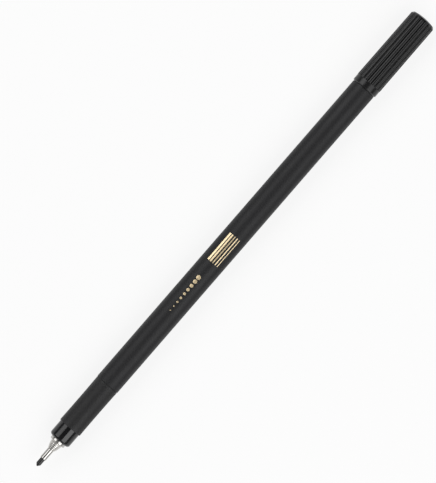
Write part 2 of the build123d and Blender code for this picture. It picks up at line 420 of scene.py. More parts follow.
@dataclass(frozen=True, kw_only=True)
class LinedMetal(Finish):
    """A metal with the fine lines of a tool, round the pen or along it."""

    shade: Colour  # of the dull lines
    dull_roughness: float
    along: float  # length of a line along the pen
    across: float  # length of a line across the pen
    metallic: float = 1.0
    line_share: float = 0.65  # how much of the dullness follows the lines, the rest handled patches
    patch_size: float = 1.2
    polished_from: float | None = None  # station behind which the metal is polished, if it is
    polished_colour: Colour = (0.5, 0.49, 0.47)
    polished_roughness: float = 0.27

    def look(self, wiring: Wiring, effects: ShaderEffects) -> Look:
        """Add the nodes of the metal.

        Args:
            wiring: The material's wiring.
            effects: The shared node groups.

        Returns:
            Colour, roughness and height of the lines.
        """
        lines = wiring.group(effects.lined_grain, Along=self.along, Across=self.across)
        handled = wiring.group(effects.handling, Size=self.patch_size, Streak=1.0)
        lined = wiring.math("MULTIPLY", lines, self.line_share)
        dull = wiring.math("MULTIPLY_ADD", handled, 1 - self.line_share, lined)
        colour = wiring.mix(dull, self.colour, self.shade)
        roughness = wiring.spread(dull, self.roughness, self.dull_roughness)
        if self.polished_from is not None:
            along, _, _ = wiring.place()
            polished = wiring.math("GREATER_THAN", along, along_axis(self.polished_from))
            colour = wiring.mix(polished, colour, self.polished_colour)
            roughness = wiring.spread(polished, roughness, self.polished_roughness)
        return colour, roughness, lines


@dataclass(frozen=True, kw_only=True)
class InkedFibre(Finish):
    """Bonded fibres that run along the pen and are soaked in ink."""

    fibre_colour: Colour  # of the fibres' backs, where the other colour is that of wet hollows
    dry_roughness: float  # of the fibres' backs
    fibre_length: float
    fibre_width: float
    wear: float = 0.5  # how strongly edges are rubbed, from 0 to 1
    wear_size: float = 0.15  # of the spots that break a rubbed edge up
    wear_dryness: float = 0.4  # how dry a rubbed edge is, from 0 to 1

    def look(self, wiring: Wiring, effects: ShaderEffects) -> Look:
        """Add the nodes of the fibres.

        Args:
            wiring: The material's wiring.
            effects: The shared node groups.

        Returns:
            Colour, roughness and height of the fibres.
        """
        fibres = wiring.group(effects.lined_grain, Along=self.fibre_length, Across=self.fibre_width)
        rubbed = wiring.group(effects.edge_wear, Size=self.wear_size, Amount=self.wear)
        dry = wiring.math("MULTIPLY_ADD", rubbed, self.wear_dryness, fibres)
        colour = wiring.mix(dry, self.colour, self.fibre_colour)
        return colour, wiring.spread(dry, self.roughness, self.dry_roughness), fibres


@dataclass(frozen=True, kw_only=True)
class Foil(Finish):
    """A metal foil pressed on the barrel, slightly broken where it follows the grain below."""

    bare_colour: Colour  # where the foil is thin
    back_roughness: float  # on the backs of the grain
    metallic: float = 0.75
    bare_share: float = 0.35  # how much of the foil is missing where it is thinnest
    thin_size: float = 0.4  # of the thin patches
    grain_size: float = 0.06

    def look(self, wiring: Wiring, effects: ShaderEffects) -> Look:
        """Add the nodes of the foil.

        Args:
            wiring: The material's wiring.
            effects: The shared node groups.

        Returns:
            Colour, roughness and height of the grain.
        """
        grain = wiring.group(effects.fine_grain, Size=self.grain_size)
        thin = wiring.group(effects.handling, Size=self.thin_size, Streak=1.0)
        missing = wiring.math("MULTIPLY", wiring.math("MULTIPLY", grain, thin), self.bare_share)
        colour = wiring.mix(missing, self.colour, self.bare_colour)
        return colour, wiring.spread(grain, self.roughness, self.back_roughness), grain


class Finishes:
    """The pen's finishes, by the record's material slots."""

    RECIPES = (
        Plastic(
            name="soft_touch_black", colour=(0.0135, 0.0135, 0.0145), worn_colour=(0.045, 0.045, 0.047),
            roughness=0.5, handled_roughness=0.44, grain_size=0.11, depth=0.014, wear=0.35, specular=0.25,
        ),
        Plastic(
            name="grip_rubber", colour=(0.009, 0.009, 0.0095), worn_colour=(0.05, 0.05, 0.052),
            roughness=0.56, handled_roughness=0.48, grain_size=0.17, depth=0.03, wear=0.3, specular=0.35,
        ),
        Plastic(
            name="gloss_black", colour=(0.004, 0.004, 0.0045), worn_colour=(0.03, 0.03, 0.032),
            roughness=0.12, handled_roughness=0.2, grain_size=0.5, depth=0.0006, wear=0.25,
        ),
        Plastic(
            name="cap_black", colour=(0.0065, 0.0065, 0.007), worn_colour=(0.04, 0.04, 0.042),
            roughness=0.25, handled_roughness=0.3, grain_size=0.12, depth=0.0015, specular=0.35,
            # the rib valleys get painted shade in their colour
            rib_roughness=0.27, painted_valley_shade=0.8,
        ),
        Plastic(
            name="seal_plastic", colour=(0.68, 0.68, 0.65), worn_colour=(0.8, 0.8, 0.78),
            roughness=0.4, handled_roughness=0.5, grain_size=0.2, depth=0.001,
        ),
        Plastic(
            name="clear_film", colour=(0.62, 0.63, 0.64), worn_colour=(0.8, 0.8, 0.8),
            roughness=0.22, handled_roughness=0.32, grain_size=0.3, depth=0.001,
        ),
        LinedMetal(
            name="turned_nickel", colour=(0.69, 0.675, 0.645), shade=(0.5, 0.49, 0.465),
            roughness=0.3, dull_roughness=0.44, along=0.06, across=40.0, depth=0.003, polished_from=8.82,
        ),
        LinedMetal(
            name="polished_steel", colour=(0.52, 0.51, 0.49), shade=(0.41, 0.4, 0.385),
            roughness=0.08, dull_roughness=0.16, along=6.0, across=0.05, depth=0.0008,
        ),
        InkedFibre(
            name="inked_fibre", colour=(0.002, 0.002, 0.0025), fibre_colour=(0.012, 0.012, 0.013),
            roughness=0.2, dry_roughness=0.38, fibre_length=1.5, fibre_width=0.07, depth=0.02,
        ),
        InkedFibre(
            name="ink_core", colour=(0.01, 0.01, 0.014), fibre_colour=(0.06, 0.06, 0.075),
            roughness=0.5, dry_roughness=0.8, fibre_length=6.0, fibre_width=0.12, depth=0.04,
        ),
        Foil(
            name="pale_gold_foil", colour=(0.86, 0.7, 0.44), bare_colour=(0.2, 0.16, 0.1),
            roughness=0.3, back_roughness=0.5, depth=0.002,
        ),
    )

    def __init__(self) -> None:
        """Build every finish once."""
        effects = ShaderEffects()
        self._materials = {recipe.name: recipe.material(effects) for recipe in self.RECIPES}

    def __getitem__(self, slot: str) -> Material:
        """Return the finish of a slot."""
        return self._materials[slot]


def along_axis(station: float) -> float:
    """Return the X, in metres, of a station."""
    return (station - PEN_LENGTH / 2) * MM


def in_metres(*lengths: float) -> Place:
    """Return lengths in metres."""
    return tuple(length * MM for length in lengths)


@dataclass(frozen=True)
class Corner:
    """A corner of a turned outline."""

    station: float
    radius: float  # distance from the axis
    rounding: float = 0.0  # radius of the arc that stands for the corner

    def place(self) -> Vector:
        """Return the corner as a point of the outline."""
        return Vector((self.station, self.radius))

    def rounded(self, before: "Corner", after: "Corner") -> list[Vector]:
        """Return the points that stand for this corner.

        Args:
            before: The corner before this one.
            after: The corner after this one.

        Returns:
            Points of station, radius and the share of edge wear.
        """
        here = self.place()
        if not self.rounding:
            return [here.to_3d()]
        back = before.place() - here
        ahead = after.place() - here
        half = back.angle(ahead) / 2
        tangent = self.rounding / math.tan(half)
        inwards = (back.normalized() + ahead.normalized()).normalized()
        middle = here + inwards * (self.rounding / math.sin(half))
        first = here + back.normalized() * tangent - middle
        last = here + ahead.normalized() * tangent - middle
        points = []
        if back.length > tangent + GUARD_ROOM:
            points.append((here + back.normalized() * (tangent + GUARD)).to_3d())
        for step in range(ARC_STEPS + 1):
            share = step / ARC_STEPS
            point = middle + first.lerp(last, share).normalized() * self.rounding
            wear = math.sin(math.pi * share) * (1 - EDGE_START) + EDGE_START
            points.append(Vector((point.x, point.y, wear)))
        if ahead.length > tangent + GUARD_ROOM:
            points.append((here + ahead.normalized() * (tangent + GUARD)).to_3d())
        return points


@dataclass(frozen=True)
class Outline:
    """The outline of a turned piece. An open one starts and ends on the axis."""

    corners: tuple[Corner, ...]
    closed: bool = True

    @classmethod
    def of(cls, *places: Place, closed: bool = True) -> "Outline":
        """Return the outline of places: a station, a radius and, where it is rounded, a rounding each."""
        return cls(tuple(Corner(*place) for place in places), closed)

    def points(self) -> list[Vector]:
        """Round the corners.

        Returns:
            Points of X, radius and edge wear, in metres, with a closed outline's start repeated.
        """
        points = []
        for index, corner in enumerate(self.corners):
            after = self.corners[(index + 1) % len(self.corners)]
            points.extend(corner.rounded(self.corners[index - 1], after))
        if self.closed:
            points.append(points[0])
        return [Vector((along_axis(point.x), point.y * MM, point.z)) for point in points]


class PieceTree(NodeGroup):
    """A Geometry Nodes tree that makes the mesh of a piece."""

    KIND = "GeometryNodeTree"
    OUTPUT = GEOMETRY

    def __init__(self) -> None:
        """Build the tree and let modifiers use it."""
        super().__init__()
        self.tree.is_modifier = True

    def shape(self) -> NodeSocket:
        """Add the nodes that shape the piece and return its geometry."""
        raise NotImplementedError

    def result(self) -> NodeSocket:
        """Realize the shaped piece and set its material.

        Returns:
            The piece as one mesh.
        """
        realized = self.out("GeometryNodeRealizeInstances", {"Geometry": self.shape()})
        dressed = {"Geometry": realized, "Material": self.given["Material"]}
        return self.out("GeometryNodeSetMaterial", dressed)

    def keep(self, geometry: NodeSocket, name: str, value: NodeSocket) -> NodeSocket:
        """Return a geometry that keeps a named number with each of its points."""
        inputs = {"Geometry": geometry, "Name": name, "Value": value}
        return self.out("GeometryNodeStoreNamedAttribute", inputs, data_type="FLOAT", domain="POINT")

    def make(self, name: str, material: Material, points: Sequence[Vector], **sizes: Source) -> Object:
        """Run the tree and turn its result into a plain mesh.

        Args:
            name: The piece's name.
            material: The piece's finish.
            points: Points that the tree starts from, in metres.
            sizes: Values of the tree's inputs, with underscores for the spaces in their names.

        Returns:
            The piece.
        """
        host = bpy.data.meshes.new(f"{name}.points")
        host.from_pydata([tuple(point) for point in points], [], [])
        piece = bpy.data.objects.new(name, host)
        bpy.context.scene.collection.objects.link(piece)
        modifier = piece.modifiers.new(self.NAME, "NODES")
        modifier.node_group = self.tree
        values = {key.replace("_", " "): value for key, value in sizes.items()}
        values["material"] = material
        for item in self.tree.interface.items_tree:
            if item.in_out == "INPUT" and item.name.lower() in values:
                modifier[item.identifier] = values[item.name.lower()]
        depsgraph = bpy.context.evaluated_depsgraph_get()
        evaluated = piece.evaluated_get(depsgraph)
        mesh = bpy.data.meshes.new_from_object(evaluated, preserve_all_data_layers=True, depsgraph=depsgraph)
        piece.modifiers.remove(modifier)
        piece.data = mesh
        bpy.data.meshes.remove(host)
        mesh.name = name
        close_mesh(mesh)
        return piece


def close_mesh(mesh: Mesh) -> None:
    """Merge a mesh's seams, turn its faces outwards and shade it smooth between its sharp edges.

    Args:
        mesh: The mesh to finish.
    """
    work = bmesh.new()
    work.from_mesh(mesh)
    bmesh.ops.remove_doubles(work, verts=work.verts, dist=MERGE_DISTANCE * MM)
    bmesh.ops.recalc_face_normals(work, faces=work.faces)
    work.to_mesh(mesh)
    work.free()
    mesh.shade_smooth()
    mesh.set_sharp_from_angle(angle=SHARP_ANGLE)


class TurningTree(PieceTree):
    """Turns an outline about the pen's axis."""

    NAME = "turned piece"
    INPUTS = (GEOMETRY, SEGMENTS, AXIS, MATERIAL)

    def shape(self) -> NodeSocket:
        """Bend a grid of one row for each outline point and one column for each segment.

        Returns:
            The turned geometry.
        """
        outline = self.given["Geometry"]
        segments = self.given["Segments"]
        rows = self.out("GeometryNodeAttributeDomainSize", {"Geometry": outline}, "Point Count")
        last_row = self.math("SUBTRACT", rows, 1)
        columns = self.math("ADD", segments, 1)
        sizes = {"Size X": last_row, "Size Y": segments, "Vertices X": rows, "Vertices Y": columns}
        grid = self.out("GeometryNodeMeshGrid", sizes)
        position = self.out("GeometryNodeInputPosition")
        across, along, _ = self.split(position)
        row = self.math("ROUND", self.math("MULTIPLY_ADD", last_row, 0.5, across))
        column = self.math("ROUND", self.math("MULTIPLY_ADD", segments, 0.5, along))
        angle = self.math("DIVIDE", self.math("MULTIPLY", column, math.tau), segments)
        wanted = {"Geometry": outline, "Value": position, "Index": row}
        sample = self.out("GeometryNodeSampleIndex", wanted, data_type="FLOAT_VECTOR", domain="POINT")
        station, radius, edge = self.split(sample)
        side = self.math("MULTIPLY", radius, self.math("SINE", angle))
        height = self.math("MULTIPLY_ADD", radius, self.math("COSINE", angle), self.given["Axis Height"])
        place = self.join(station, side, height)
        kept = self.keep(grid, "edge", edge)
        turned = self.out("GeometryNodeSetPosition", {"Geometry": kept, "Position": place})
        return self.out("GeometryNodeMergeByDistance", {"Geometry": turned, "Distance": MERGE_DISTANCE * MM})


class RibbingTree(PieceTree):
    """Turns an outline and works round ribs into its wall, which run out over the crown."""

    NAME = "ribbed cap"
    INPUTS = (
        GEOMETRY,
        SEGMENTS,
        AXIS,
        ("Rib Count", "Int", 17),
        ("Rod Radius", "Float", 0.001),
        ("Groove Depth", "Float", 0.0001),
        ("Groove Share", "Float", 0.2),
        ("Rib Start", "Float", 0.0),
        ("Rib End", "Float", 0.0),
        ("Inner Limit", "Float", 0.0),
        ("Crown Run", "Float", 1.0),
        MATERIAL,
    )

    def __init__(self, turning: TurningTree) -> None:
        """Build the tree on top of the one that turns outlines."""
        self.turning = turning
        super().__init__()

    def shape(self) -> NodeSocket:
        """Give each point of the ribbed wall the radius of the round rod that it lies on.

        Returns:
            The ribbed geometry.
        """
        given = self.given
        axis_height = given["Axis Height"]
        rod = given["Rod Radius"]
        start = given["Rib Start"]
        end = given["Rib End"]
        shared = {name: given[name] for name, _, _ in TurningTree.INPUTS}
        geometry = self.out("GeometryNodeGroup", shared, node_tree=self.turning.tree)
        station, side, top = self.split(self.out("GeometryNodeInputPosition"))
        height = self.math("SUBTRACT", top, axis_height)
        squares = self.math("MULTIPLY_ADD", side, side, self.math("MULTIPLY", height, height))
        crest = self.math("SQRT", squares)
        pitch = self.math("DIVIDE", math.tau, given["Rib Count"])
        angle = self.math("ARCTAN2", side, height)
        nearest = self.math("ROUND", self.math("DIVIDE", angle, pitch))
        off_crest = self.math("SUBTRACT", angle, self.math("MULTIPLY", nearest, pitch))
        middle = self.math("SUBTRACT", crest, rod)
        reach = self.math("MULTIPLY", middle, self.math("SINE", off_crest))
        rod_square = self.math("MULTIPLY", rod, rod)
        bow = self.math("SQRT", self.math("SUBTRACT", rod_square, self.math("MULTIPLY", reach, reach)))
        rib_radius = self.math("MULTIPLY_ADD", middle, self.math("COSINE", off_crest), bow)
        half_pitch = self.math("MULTIPLY", pitch, 0.5)
        half_share = self.math("ABSOLUTE", self.math("DIVIDE", off_crest, half_pitch))
        groove_start = self.math("SUBTRACT", 1.0, given["Groove Share"])
        ramp = {"Value": half_share, "From Min": groove_start, "To Max": given["Groove Depth"]}
        groove = self.out("ShaderNodeMapRange", ramp, interpolation_type="SMOOTHSTEP")
        radius = self.math("SUBTRACT", rib_radius, groove)
        gone = self.math("SUBTRACT", station, start)
        share = self.math("DIVIDE", gone, self.math("SUBTRACT", end, start))
        slide = self.math("MULTIPLY", self.math("SUBTRACT", crest, radius), given["Crown Run"])
        scale = self.math("DIVIDE", radius, crest)
        place = self.join(
            self.math("MULTIPLY_ADD", slide, share, station),
            self.math("MULTIPLY", side, scale),
            self.math("MULTIPLY_ADD", height, scale, axis_height),
        )
        hair = MERGE_DISTANCE * MM
        chosen = self.math("GREATER_THAN", station, self.math("SUBTRACT", start, hair))
        for test in (
            self.math("LESS_THAN", station, self.math("ADD", end, hair)),
            self.math("GREATER_THAN", crest, given["Inner Limit"]),
        ):
            chosen = self.math("MULTIPLY", chosen, test)
        geometry = self.keep(geometry, "ribbed", chosen)
        # share from crest to valley, which the cap's finish uses to paint shade into the valleys
        geometry = self.keep(geometry, "valley", self.math("MULTIPLY", half_share, chosen))
        moved = {"Geometry": geometry, "Selection": chosen, "Position": place}
        return self.out("GeometryNodeSetPosition", moved)


class MarkTree(PieceTree):
    """Lays a row of graded marks on the barrel and bends them round it."""

    NAME = "foil marks"
    INPUTS = (
        GEOMETRY,
        ("Count", "Int", 5),
        ("Start", "Vector", (0.0, 0.0, 0.0)),
        ("Step", "Vector", (0.0, 0.0, 0.0)),
        ("First Size", "Vector", (0.001, 0.001, 0.001)),
        ("Last Size", "Vector", (0.001, 0.001, 0.001)),
        ("Round", "Bool", False),
        ("Radius", "Float", 0.001),
        AXIS,
        MATERIAL,
    )
    BAR = {"Vertices Y": 9}
    DOT = {"Vertices": 32, "Fill Segments": 6, "Radius": 0.5, "Depth": 1.0}

    def shape(self) -> NodeSocket:
        """Set out the marks on a flat sheet and bend the sheet round the barrel.

        Returns:
            The marks.
        """
        given = self.given
        line = {"Count": given["Count"], "Start Location": given["Start"], "Offset": given["Step"]}
        row = self.out("GeometryNodeMeshLine", line)
        bar = self.out("GeometryNodeMeshCube", self.BAR)
        dot = self.out("GeometryNodeMeshCylinder", self.DOT)
        shapes = {"Switch": given["Round"], "False": bar, "True": dot}
        mark = self.out("GeometryNodeSwitch", shapes, input_type="GEOMETRY")
        last = self.math("SUBTRACT", given["Count"], 1)
        share = self.math("DIVIDE", self.out("GeometryNodeInputIndex"), last)
        size = self.mix(share, given["First Size"], given["Last Size"], MixKind.VECTOR)
        laid = self.out("GeometryNodeInstanceOnPoints", {"Points": row, "Instance": mark, "Scale": size})
        sheet = self.out("GeometryNodeRealizeInstances", {"Geometry": laid})
        station, side, height = self.split(self.out("GeometryNodeInputPosition"))
        angle = self.math("DIVIDE", side, given["Radius"])
        radius = self.math("ADD", given["Radius"], height)
        place = self.join(
            station,
            self.math("MULTIPLY", radius, self.math("SINE", angle)),
            self.math("MULTIPLY_ADD", radius, self.math("COSINE", angle), given["Axis Height"]),
        )
        return self.out("GeometryNodeSetPosition", {"Geometry": sheet, "Position": place})


@dataclass(frozen=True)
class Workshop:
    """What every sub-assembly is made with: the trees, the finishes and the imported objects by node."""

    turning: TurningTree
    ribbing: RibbingTree
    marking: MarkTree
    finishes: Finishes
    nodes: Mapping[str, Object]

    def stand_in(self, piece: Object, body: Body, node: str) -> None:
        """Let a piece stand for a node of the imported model.

        Args:
            piece: The piece.
            body: The body that it rides on.
            node: The node that it stands for.
        """
        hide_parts(node)
        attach(piece, body.value)
        LOG.info("%s stands for %s, %d faces", piece.name, node, len(piece.data.polygons))

    def turn(self, name: str, outline: Outline, slot: str, node: str) -> None:
        """Turn a piece of the pen in the finish of a slot, and let it stand for a node."""
        piece = self.turning.make(name, self.finishes[slot], outline.points())
        self.stand_in(piece, Body.PEN, node)

    def dress_node(self, node: str, slot: str) -> None:
        """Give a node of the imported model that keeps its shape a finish.

        Args:
            node: The node.
            slot: The material slot of its finish.
        """
        for material_slot in self.nodes[node].material_slots:
            material_slot.material = self.finishes[slot]
        LOG.info("%s keeps its shape and gets %s", node, slot)


@dataclass(frozen=True)
class WritingPoint:
    """The fibre nib, its steel tube and the turned nose."""

    nib_radius: float = 0.755
    nib_nose: float = 0.15
    nib_shoulder: float = 0.2
    nib_point_length: float = 0.75
    nib_end: float = 28.8
    tube_front: float = 2.75
    tube_radius: float = 0.975
    tube_bore: float = 0.775
    tube_edge: float = 0.05
    cone_front: float = 6.2
    cone_tip_radius: float = 1.035
    cone_tip_edge: float = 0.04
    cone_end: float = 8.75
    cone_base_radius: float = 1.8
    cone_base_edge: float = 0.08
    cone_bulge: float = 0.12
    groove_count: int = 4
    groove_depth: float = 0.025
    groove_width: float = 0.12
    ring_front: float = 8.9
    ring_end: float = 9.7
    ring_radius: float = 2.45
    ring_edge: float = 0.18
    ring_back_edge: float = 0.05
    shank_radius: float = 1.95
    shank_end: float = 13.7
    nose_bore: float = 0.995

    def nib_outline(self) -> Outline:
        """Return the nib: a rod with a rounded conical point."""
        return Outline.of(
            (0.0, 0.0),
            (0.0, self.nib_nose, self.nib_nose),
            (self.nib_point_length, self.nib_radius, self.nib_shoulder),
            (self.nib_end, self.nib_radius),
            (self.nib_end, 0.0),
            closed=False,
        )

    def tube_outline(self) -> Outline:
        """Return the tube, with its mouth rounded off."""
        return Outline.of(
            (self.tube_front, self.tube_bore),
            (self.tube_front, self.tube_radius, self.tube_edge),
            (self.shank_end, self.tube_radius),
            (self.shank_end, self.tube_bore),
        )

    def cone_grooves(self) -> list[Place]:
        """Set out the fine grooves that the turning tool left in the cone.

        Returns:
            The grooves' corners.
        """
        length = self.cone_end - self.cone_front
        rise = self.cone_base_radius - self.cone_tip_radius
        corners = []
        for index in range(self.groove_count):
            middle = (index + 1) / (self.groove_count + 1)
            for offset, depth in ((-0.5, 0.0), (0.0, self.groove_depth), (0.5, 0.0)):
                share = middle + offset * self.groove_width / length
                bow = 4 * self.cone_bulge * share * (1 - share)
                radius = self.cone_tip_radius + share * rise + bow - depth
                corners.append((self.cone_front + share * length, radius))
        return corners

    def nose_outline(self) -> Outline:
        """Return the nose: grooved cone, shoulder, ring and shank."""
        return Outline.of(
            (self.cone_front, self.nose_bore),
            (self.cone_front, self.cone_tip_radius, self.cone_tip_edge),
            *self.cone_grooves(),
            (self.cone_end, self.cone_base_radius, self.cone_base_edge),
            (self.ring_front, self.ring_radius, self.ring_edge),
            (self.ring_end, self.ring_radius, self.ring_back_edge),
            (self.ring_end, self.shank_radius),
            (self.shank_end, self.shank_radius),
            (self.shank_end, self.nose_bore),
        )

    def build(self, shop: Workshop) -> None:
        """Turn the three pieces.

        Args:
            shop: What the pieces are made with.
        """
        shop.turn("nib_point", self.nib_outline(), "inked_fibre", "fibre_nib")
        shop.turn("point_tube", self.tube_outline(), "polished_steel", "nib_tube")
        shop.turn("turned_nose", self.nose_outline(), "turned_nickel", "nose_cone")


@dataclass(frozen=True)
class GripSection:
    """The glossy collar and the waisted grip behind it."""

    collar_front: float = 9.7
    collar_radius: float = 3.45
    collar_edge: float = 0.85
    pocket_radius: float = 1.97
    pocket_edge: float = 0.06
    pocket_end: float = 13.9
    guide_radius: float = 0.805
    shank_radius: float = 2.73
    shank_end: float = 20.6
    grip_front: float = 14.6
    grip_end: float = 31.1
    grip_bore: float = 3.22
    front_radius: float = 3.7
    waist_radius: float = 3.65
    rear_radius: float = 3.72
    waist_share: float = 0.46
    grip_edge: float = 0.12
    seam_edge: float = 0.2
    waist_steps: int = 24

    def collar_outline(self) -> Outline:
        """Return the collar with its shank and the pocket for the nose."""
        return Outline.of(
            (self.collar_front, self.pocket_radius, self.pocket_edge),
            (self.collar_front, self.collar_radius, self.collar_edge),
            (self.grip_front, self.collar_radius),
            (self.grip_front, self.shank_radius),
            (self.shank_end, self.shank_radius),
            (self.shank_end, self.guide_radius),
            (self.pocket_end, self.guide_radius),
            (self.pocket_end, self.pocket_radius),
        )

    def waist(self, share: float) -> float:
        """Return the grip's radius at a share of its length, on a bow through front, waist and rear.

        Args:
            share: The share of the grip's length, from its front.

        Returns:
            The radius.
        """
        front = self.front_radius * (share - self.waist_share) * (share - 1) / self.waist_share
        middle = self.waist_radius * share * (share - 1) / (self.waist_share * (self.waist_share - 1))
        rear = self.rear_radius * share * (share - self.waist_share) / (1 - self.waist_share)
        return front + middle + rear

    def grip_outline(self) -> Outline:
        """Draw the grip in to its waist and round it at both ends.

        Returns:
            The grip's outline.
        """
        length = self.grip_end - self.grip_front
        shares = [step / self.waist_steps for step in range(1, self.waist_steps)]
        return Outline.of(
            (self.grip_front, self.grip_bore),
            (self.grip_front, self.front_radius, self.grip_edge),
            *((self.grip_front + share * length, self.waist(share)) for share in shares),
            (self.grip_end, self.rear_radius, self.seam_edge),
            (self.grip_end, self.grip_bore),
        )

    def build(self, shop: Workshop) -> None:
        """Turn the two pieces."""
        shop.turn("glossy_collar", self.collar_outline(), "gloss_black", "nib_holder")
        shop.turn("waisted_grip", self.grip_outline(), "grip_rubber", "grip_sleeve")


@dataclass(frozen=True)
class FoilMarks:
    """A row of graded foil marks on the barrel."""

    name: str
    shape: MarkShape
    count: int
    start: tuple[float, float]  # place of the first mark along the pen, from its middle, and round it
    step: tuple[float, float]  # way from one mark to the next, along the pen and round it
    first_size: tuple[float, float]  # length and width of the first mark
    last_size: tuple[float, float]  # length and width of the last mark
    thickness: float = 0.05  # most of it below the barrel's surface
    proud: float = 0.012  # how far the foil stands out from the barrel

    def build(self, shop: Workshop, barrel_radius: float) -> None:
        """Lay the marks on the barrel.

        Args:
            shop: What the piece is made with.
            barrel_radius: The barrel's radius.
        """
        piece = shop.marking.make(
            self.name,
            shop.finishes["pale_gold_foil"],
            [],
            count=self.count,
            start=in_metres(*self.start, self.proud - self.thickness / 2),
            step=in_metres(*self.step, 0.0),
            first_size=in_metres(*self.first_size, self.thickness),
            last_size=in_metres(*self.last_size, self.thickness),
            round=self.shape is MarkShape.DOT,
            radius=barrel_radius * MM,
        )
        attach(piece, Body.PEN.value)
        LOG.info("%s lies on the barrel, %d faces", piece.name, len(piece.data.polygons))


@dataclass(frozen=True)
class Barrel:
    """The long tube with its neck, the plug at its rear and the foil marks."""

    neck_front: float = 14.6
    neck_radius: float = 3.2
    seam: float = 31.1
    end: float = 143.95
    radius: float = 3.8
    bore: float = 2.75
    edge: float = 0.1
    rear_edge: float = 0.22
    plug_front: float = 136.95
    plug_shank_radius: float = 2.73
    plug_hollow_radius: float = 1.83
    plug_hollow_end: float = 147.55
    plug_end: float = 148.85
    plug_chamfer: float = 0.4
    plug_edge: float = 0.2
    seat_radius: float = 3.45
    marks: tuple[FoilMarks, ...] = (
        FoilMarks(
            "foil_lines", MarkShape.BAR, count=5, start=(-3.0, -1.75), step=(0.0, 0.87),
            first_size=(10.0, 0.16), last_size=(10.0, 0.6),
        ),
        FoilMarks(
            "foil_dots", MarkShape.DOT, count=9, start=(-26.2, 0.3), step=(1.55, 0.0),
            first_size=(0.35, 0.35), last_size=(1.35, 1.35),
        ),
    )

    def tube_outline(self) -> Outline:
        """Return the tube and its neck."""
        return Outline.of(
            (self.neck_front, self.bore),
            (self.neck_front, self.neck_radius),
            (self.seam, self.neck_radius),
            (self.seam, self.radius, self.edge),
            (self.end, self.radius, self.rear_edge),
            (self.end, self.bore),
        )

    def plug_outline(self) -> Outline:
        """Return the plug, hollow towards the reservoir, with the seat that the cap is pushed on."""
        return Outline.of(
            (self.plug_hollow_end, 0.0),
            (self.plug_hollow_end, self.plug_hollow_radius),
            (self.plug_front, self.plug_hollow_radius),
            (self.plug_front, self.plug_shank_radius),
            (self.end, self.plug_shank_radius),
            (self.end, self.seat_radius),
            (self.plug_end - self.plug_chamfer, self.seat_radius, self.plug_edge),
            (self.plug_end, self.seat_radius - self.plug_chamfer, self.plug_edge),
            (self.plug_end, 0.0),
            closed=False,
        )

    def build(self, shop: Workshop) -> None:
        """Turn the tube and the plug, and lay the marks.

        Args:
            shop: What the pieces are made with.
        """
        shop.turn("barrel_tube", self.tube_outline(), "soft_touch_black", "barrel")
        shop.turn("rear_seat", self.plug_outline(), "gloss_black", "rear_plug")
        for marks in self.marks:
            marks.build(shop, self.radius)


